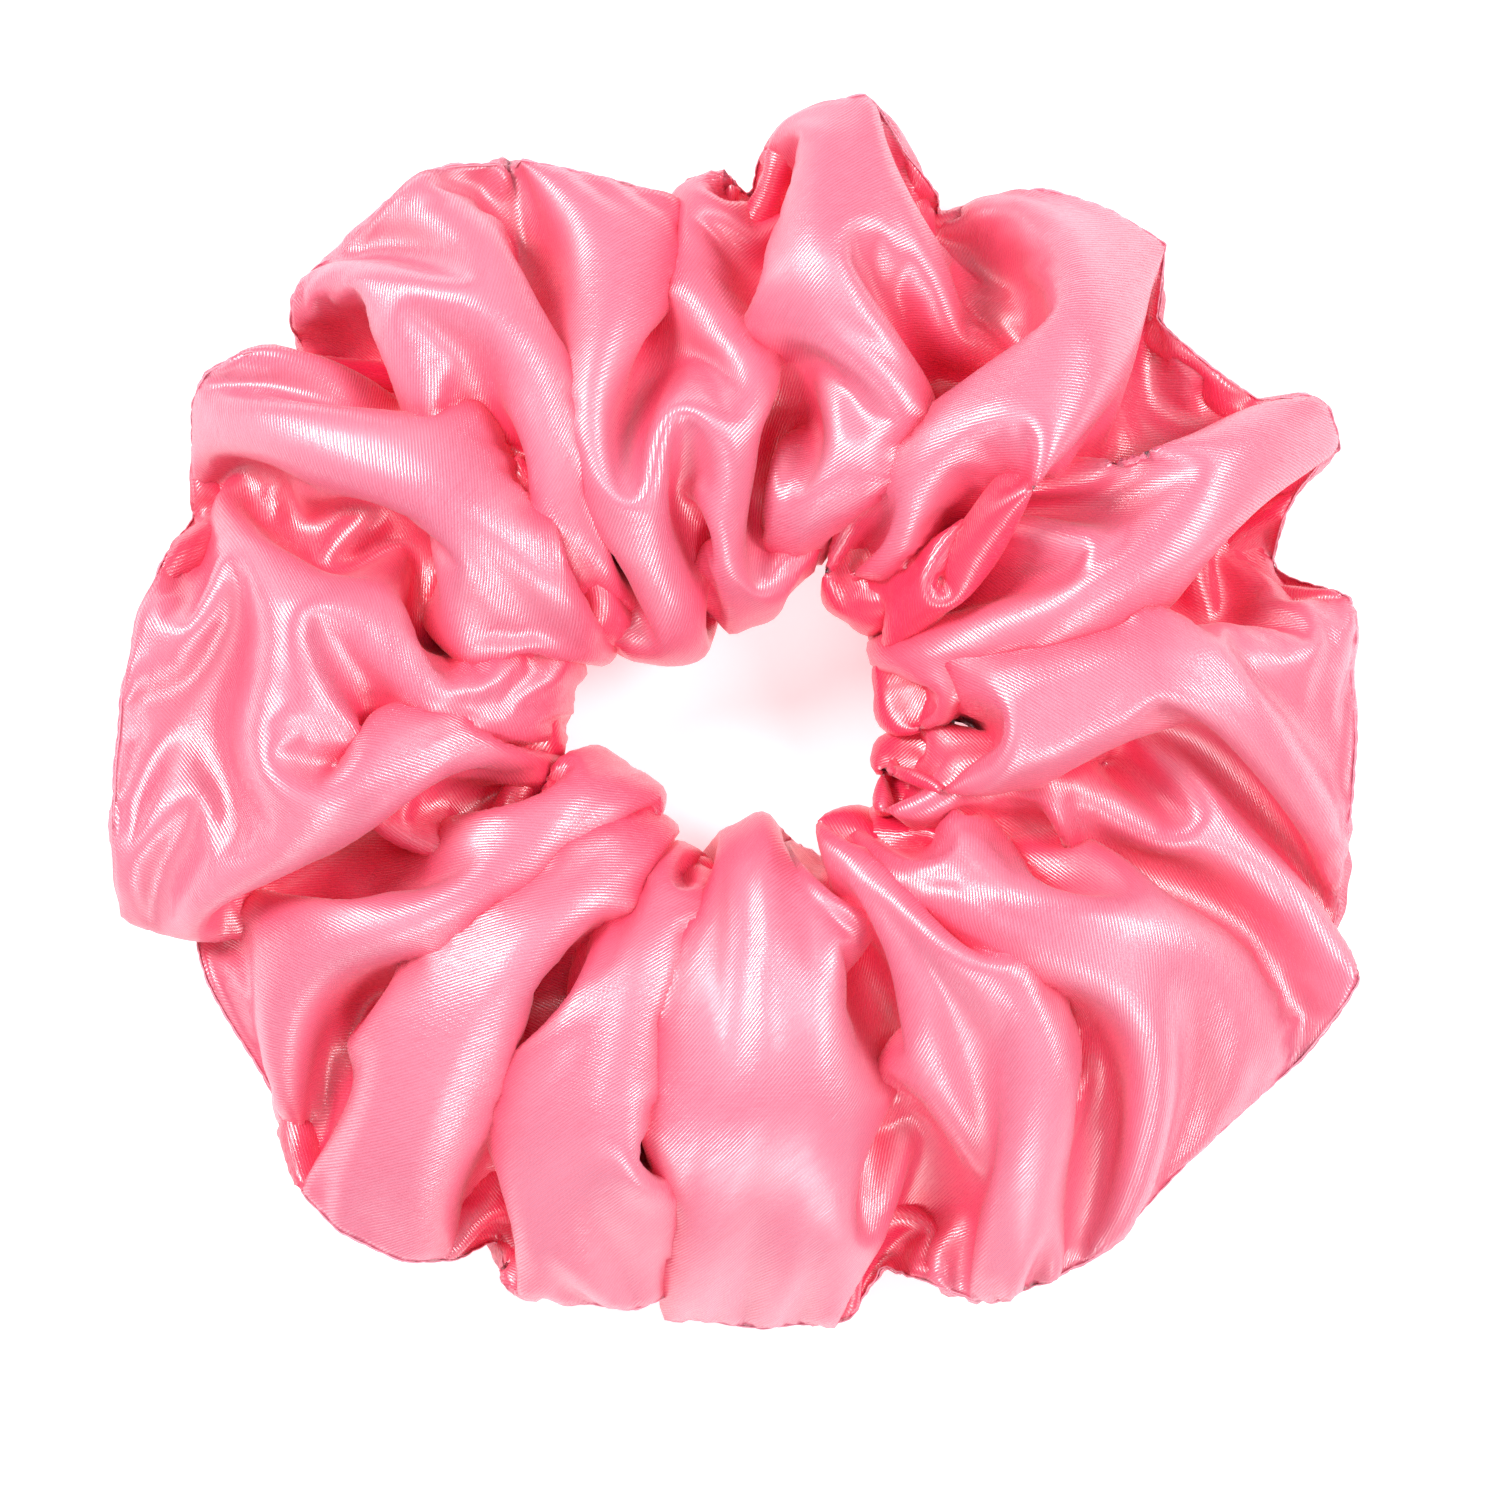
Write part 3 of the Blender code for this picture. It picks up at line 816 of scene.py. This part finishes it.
def sewn(shape, satin):
    """The settled sleeve with its seams: puckers along the long seam, and a groove down both seams."""
    rows, columns = shape.shape[:2]
    half = columns // 2
    facing = Cloth(shape, 1.0, 1.0).outward()
    place = np.arange(rows) * satin / rows
    drift = 1.7 * np.sin(2 * math.pi * place / PUCKER_DRIFT)
    waves = np.sin(2 * math.pi * place / PUCKER_PITCH + drift)
    size = PUCKER * (0.6 + 0.4 * np.sin(2 * math.pi * place / PUCKER_SWELL))
    result = shape.copy()
    for away in range(1, PUCKER_COLUMNS + 1):
        lift = waves * size * math.exp(-0.5 * ((away - 2.0) / 2.2) ** 2)
        result[:, half - away] += facing[:, half - away] * lift[:, None]
        result[:, half + away] += facing[:, half + away] * np.roll(lift, 2)[:, None]
    _, out, _ = seam_frame(shape)
    result[:, half] -= out * SEAM_GROOVE
    result[0] -= facing[0] * SEAM_GROOVE
    return result


def tube(name, path, radius, colour):
    """A three-ply thread along a path: a closed tube with the plies' twist in its surface."""
    path = np.asarray(path, float)
    along = unit(np.gradient(path, axis=0))
    side = [np.array([0.31, 0.17, 0.93])]
    for tangent in along:
        side.append(unit(side[-1] - tangent * (side[-1] @ tangent)))
    side = np.array(side[1:])
    up = np.cross(along, side)
    sewn_up_to = np.concatenate([[0.0], np.cumsum(np.linalg.norm(np.diff(path, axis=0), axis=1))])
    turn = np.arange(THREAD_SIDES) * 2 * math.pi / THREAD_SIDES
    twist = PLIES * turn[None, :] - sewn_up_to[:, None] * 2 * math.pi / PLY_PITCH
    plies = 1.0 + PLY_RELIEF * np.cos(twist)
    ring = np.cos(turn)[None, :, None] * side[:, None] + np.sin(turn)[None, :, None] * up[:, None]
    points = (path[:, None] + radius * plies[..., None] * ring).reshape(-1, 3)
    faces = []
    for step in range(len(path) - 1):
        first, second = step * THREAD_SIDES, (step + 1) * THREAD_SIDES
        for k in range(THREAD_SIDES):
            after = (k + 1) % THREAD_SIDES
            faces.append((first + k, first + after, second + after, second + k))
    faces.append(tuple(range(THREAD_SIDES))[::-1])
    faces.append(tuple((len(path) - 1) * THREAD_SIDES + k for k in range(THREAD_SIDES)))
    mesh = bpy.data.meshes.new(name)
    mesh.from_pydata((points * MM).tolist(), [], faces)
    mesh.polygons.foreach_set("use_smooth", [True] * len(faces))
    mesh.materials.append(thread_material(name, colour))
    piece = bpy.data.objects.new(name, mesh)
    bpy.context.scene.collection.objects.link(piece)
    return piece


def thread_material(name, colour):
    """Spun polyester thread, which the elastic's braid is too: fine fibres and a soft sheen."""
    material, nodes, links = new_material(name)
    shader = nodes["Principled BSDF"]
    shader.inputs["Specular IOR Level"].default_value = THREAD_SPECULAR
    shader.inputs["Sheen Weight"].default_value = THREAD_SHEEN
    shader.inputs["Sheen Roughness"].default_value = THREAD_SHEEN_ROUGHNESS
    place = nodes.new("ShaderNodeTexCoord").outputs["Object"]
    fibres = noise_node(nodes, links, place, (1, 1, 1), FIBRES, 3.0)
    dark, light = ([min(1.0, shade * part) for part in colour] for shade in FIBRE_SHADES)
    fibre_colour = colour_mix(nodes, "MIX", dark, light)
    links.new(fibres, fibre_colour.inputs[0])
    links.new(fibre_colour.outputs[2], shader.inputs["Base Color"])
    rough = math_node(nodes, links, "MULTIPLY", fibres, FIBRE_ROUGHNESS)
    links.new(math_node(nodes, links, "ADD", rough, THREAD_ROUGHNESS), shader.inputs["Roughness"])
    bump = nodes.new("ShaderNodeBump")
    bump.inputs["Strength"].default_value = FIBRE_STRENGTH
    bump.inputs["Distance"].default_value = FIBRE_RELIEF
    links.new(fibres, bump.inputs["Height"])
    links.new(bump.outputs[0], shader.inputs["Normal"])
    return material


def stitched(line, out, side, aside):
    """A lockstitch thread, a little to one side of a line, which dips into the cloth at every stitch."""
    steps = np.concatenate([[0.0], np.cumsum(np.linalg.norm(np.diff(line, axis=0), axis=1))])
    place = np.arange(0.0, steps[-1], THREAD_STEP)
    spots, outward, sideways = (np.stack([np.interp(place, steps, part[:, axis]) for axis in range(3)],
                                         axis=1) for part in (line, out, side))
    arch = np.abs(np.sin(math.pi * place / STITCH)) ** 0.6
    rise = STITCH_RISE * arch - STITCH_SINK
    lean = aside * (0.4 + 0.6 * arch)
    return spots + unit(outward) * rise[:, None] + unit(sideways) * lean[:, None]


def build_long_seam(shape):
    rim, out, upper = seam_frame(shape)
    for side, label, colour in ((1.0, "needle", NEEDLE_PINK), (-1.0, "bobbin", BOBBIN_PINK)):
        path = stitched(rim, out, upper, side * LONG_SEAM_SIDE)
        piece = tube("long_seam_" + label + "_stitches", path, THREAD_RADIUS, colour)
        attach(piece, "sleeve")
        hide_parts("long_seam_" + label + "_thread")


def build_closing_seam(shape):
    """The closing seam's threads: the needle's over the top, with its cut end, the bobbin's under."""
    half = shape.shape[1] // 2
    facing = Cloth(shape, 1.0, 1.0).outward()
    along = unit(np.roll(shape, -1, 0) - np.roll(shape, 1, 0))
    inset = max(2, half // 12)
    for first, last, label, colour in ((inset, half - 2, "needle", NEEDLE_PINK),
                                       (half + 2, 2 * half - inset, "bobbin", BOBBIN_PINK)):
        run = slice(first, last)
        path = stitched(shape[0, run], facing[0, run], along[0, run], CLOSING_SEAM_SIDE)
        if label == "needle":
            path = np.vstack([path, path[-1] + even_steps(np.array(THREAD_END), 12)[1:]])
        piece = tube("closing_seam_" + label + "_stitches", path, THREAD_RADIUS, colour)
        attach(piece, "sleeve")
        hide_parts("closing_seam_" + label + "_thread")


# ---------------------------------------------------------------- the elastic and its join

# The band, as in the CAD part: it starts at an angle, and its lap steps outwards over its start.
ELASTIC_RADIUS = 24.9
ELASTIC_THICKNESS = 1.0
ELASTIC_WIDTH = 6.0
ELASTIC_STEP_OUT = 1.3
ELASTIC_START = 30.0
ELASTIC_LAP = 27.0
ELASTIC_ROWS = 520
# Its rubber cords and its braid, each with its relief as a share of the thickness.
ELASTIC_CORDS = 8
CORD_RELIEF = 0.07
BRAID_PITCH = 1.1
BRAID_RELIEF = 0.05
ELASTIC_WHITE = (0.80, 0.78, 0.75)

# The zigzag through the lap: its half width, its number of slanted stitches, where it starts and how
# long it is as shares of the lap, how far its threads lie off the elastic, and how deep they dip at
# the stitches' ends.
ZIGZAG_REACH = 2.1
ZIGZAG_STITCHES = 12.0
ZIGZAG_START = 0.14
ZIGZAG_LENGTH = 0.72
JOIN_GAP = 0.12
JOIN_DIP = 0.3
JOIN_DIP_WIDTH = 0.12
JOIN_NEEDLE = (0.84, 0.82, 0.80)
JOIN_BOBBIN = (0.76, 0.75, 0.74)


def elastic_section():
    """Points round the elastic's section, as (out, up): two wide faces with round edges between them."""
    half_thick, half_wide = ELASTIC_THICKNESS / 2, ELASTIC_WIDTH / 2
    straight = half_wide - half_thick
    points = [(half_thick, up) for up in np.linspace(-straight, straight, 25)]
    points += [(half_thick * math.cos(turn), straight + half_thick * math.sin(turn))
               for turn in np.linspace(0, math.pi, 7)[1:-1]]
    points += [(-half_thick, up) for up in np.linspace(straight, -straight, 25)]
    points += [(half_thick * math.cos(turn), -straight + half_thick * math.sin(turn))
               for turn in np.linspace(math.pi, 2 * math.pi, 7)[1:-1]]
    return np.array(points)


def build_elastic():
    """The braided elastic: one turn and a lap, with its rubber cords showing as ribs under the braid."""
    section = elastic_section()
    count = len(section)
    turned = np.linspace(0.0, 360.0 + ELASTIC_LAP, ELASTIC_ROWS)
    turn = np.radians(ELASTIC_START + turned)[:, None]
    radius = (ELASTIC_RADIUS + ELASTIC_STEP_OUT * turned / 360.0)[:, None]
    run = np.radians(turned)[:, None] * ELASTIC_RADIUS
    out, up = section[None, :, 0], section[None, :, 1]
    cords = np.cos(2 * math.pi * ELASTIC_CORDS * up / ELASTIC_WIDTH)
    braid = np.cos(2 * math.pi * (run / BRAID_PITCH + np.abs(up) / BRAID_PITCH))
    thick = 1.0 - CORD_RELIEF * (1 - cords) - BRAID_RELIEF * (1 - braid)
    reach = radius + out * thick
    points = np.stack([reach * np.cos(turn), reach * np.sin(turn), up + 0 * turn], axis=-1)
    points = points.reshape(-1, 3) + RING_CENTRE
    faces = []
    for row in range(ELASTIC_ROWS - 1):
        for k in range(count):
            after = (k + 1) % count
            faces.append((row * count + k, (row + 1) * count + k, (row + 1) * count + after,
                          row * count + after))
    faces.append(tuple(range(count)))
    faces.append(tuple((ELASTIC_ROWS - 1) * count + k for k in range(count))[::-1])
    mesh = bpy.data.meshes.new("braided_elastic")
    mesh.from_pydata((points * MM).tolist(), [], faces)
    mesh.polygons.foreach_set("use_smooth", [True] * len(faces))
    mesh.materials.append(thread_material("braided elastic", ELASTIC_WHITE))
    band = bpy.data.objects.new("braided_elastic", mesh)
    bpy.context.scene.collection.objects.link(band)
    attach(band, "elastic")
    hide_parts("elastic_band")


def build_elastic_join():
    """The zigzag through the elastic's lap: the needle's thread outside, the bobbin's inside."""
    across_lap = ELASTIC_STEP_OUT * (1 + ELASTIC_LAP / 360.0)
    place = np.linspace(0.0, ZIGZAG_STITCHES, 240)
    zigzag = ZIGZAG_REACH * (1 - 2 * np.abs((place % 2) - 1))
    dip = JOIN_DIP * np.exp(-((place - np.round(place)) / JOIN_DIP_WIDTH) ** 2)
    share = ZIGZAG_START + ZIGZAG_LENGTH * place / ZIGZAG_STITCHES
    turn = np.radians(ELASTIC_START + ELASTIC_LAP * share)
    off = ELASTIC_THICKNESS / 2 + JOIN_GAP
    for label, radius, side, colour in (
        ("needle", ELASTIC_RADIUS + across_lap + off, -1.0, JOIN_NEEDLE),
        ("bobbin", ELASTIC_RADIUS - off, 1.0, JOIN_BOBBIN),
    ):
        reach = radius + side * dip
        path = np.stack([reach * np.cos(turn), reach * np.sin(turn), zigzag], axis=1) + RING_CENTRE
        piece = tube("elastic_join_" + label + "_stitches", path, THREAD_RADIUS, colour)
        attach(piece, "elastic")
        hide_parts("elastic_join_" + label + "_thread")


# ---------------------------------------------------------------- the sleeve

SATIN_THICKNESS = 0.25


def build_sleeve():
    """The satin sleeve. Returns the settled grid of points that the threads are sewn on."""
    settled, satin = sleeve_shape()
    settled = sewn(settled, satin)
    sleeve = grid_mesh("satin_sleeve_cloth", settled, (satin, GIRTH))
    # How open each point lies, which sets the painted shade in the satin's folds.
    painted_shade_openness = sleeve.data.attributes.new("painted_shade_openness", "FLOAT", "POINT")
    painted_shade_openness.data.foreach_set("value", openness_for_painted_shade(settled).ravel())
    thick = sleeve.modifiers.new("cloth thickness", "SOLIDIFY")
    thick.thickness = SATIN_THICKNESS * MM
    thick.offset = 0.0
    sleeve.data.materials.append(satin_material())
    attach(sleeve, "sleeve")
    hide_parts("satin_sleeve")
    return settled


camera()
studio()
settled = build_sleeve()
build_long_seam(settled)
build_closing_seam(settled)
build_elastic()
build_elastic_join()
